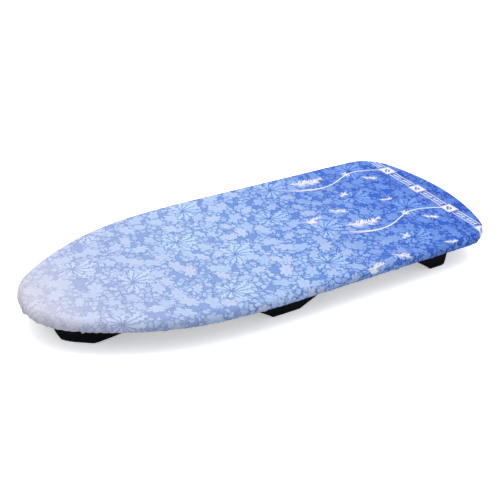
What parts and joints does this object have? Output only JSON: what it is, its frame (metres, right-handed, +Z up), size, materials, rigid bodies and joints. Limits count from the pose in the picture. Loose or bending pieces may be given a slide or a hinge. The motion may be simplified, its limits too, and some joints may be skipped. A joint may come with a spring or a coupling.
{
  "type": "tabletop ironing board",
  "caption": "Compact tabletop ironing board: tapered, rounded nose, padded printed cotton cover drawn over a light core by a locked drawstring, on short drafted feet.",
  "frame": {"origin": "centre of the footprint, on the surface that the rubber pads stand on", "axes": "+X from the rounded nose to the square end, +Y to the right hand when the nose points ahead, +Z up"},
  "size_m": [0.73, 0.3, 0.053],
  "materials": {
    "core": "fine moulded-foam skin, matt black",
    "cover": "plain-weave cotton, two-tone printed leaves and flowers, pale at the nose to cornflower blue at the square end",
    "padding": "open-cell foam, off-white",
    "film": "metallised non-woven film, silver grey",
    "binding": "turned cotton hem, pale blue, gathered",
    "cord": "braided elastic cord, white",
    "lock_body": "moulded plastic, black, light grain",
    "lock_button": "moulded plastic, dark grey",
    "spring": "drawn spring wire",
    "screw": "zinc-plated steel",
    "insert": "turned brass",
    "foot": "moulded plastic, matt black, fine grain",
    "pad": "soft rubber, matt black"
  },
  "bodies": {
    "board": {"core_board": "core", "cover_cloth": "cover", "padding": "padding", "reflective_film": "film", "hem_binding": "binding", "drawstring": "cord", "cord_bell": "lock_body", "foot_screws": "screw", "threaded_inserts": "insert", "foot_nose_right": "foot", "foot_nose_left": "foot", "foot_middle_right": "foot", "foot_middle_left": "foot", "foot_end_right": "foot", "foot_end_left": "foot", "pad_nose_right": "pad", "pad_nose_left": "pad", "pad_middle_right": "pad", "pad_middle_left": "pad", "pad_end_right": "pad", "pad_end_left": "pad"},
    "cord_lock": {"lock_barrel": "lock_body", "lock_spring": "spring"},
    "lock_button": {"lock_plunger": "lock_button"}
  },
  "joints": [
    {"name": "lock_slide", "type": "slide", "parent": "board", "child": "cord_lock", "axis": [-1, 0, 0], "range_m": [0, 0.018]},
    {"name": "button_press", "type": "slide", "parent": "cord_lock", "child": "lock_button", "axis": [0, -1, 0], "range_m": [0, 0.003], "stiffness_N_per_m": 250, "springref_m": -0.004, "deforming": ["lock_spring"]}
  ]
}
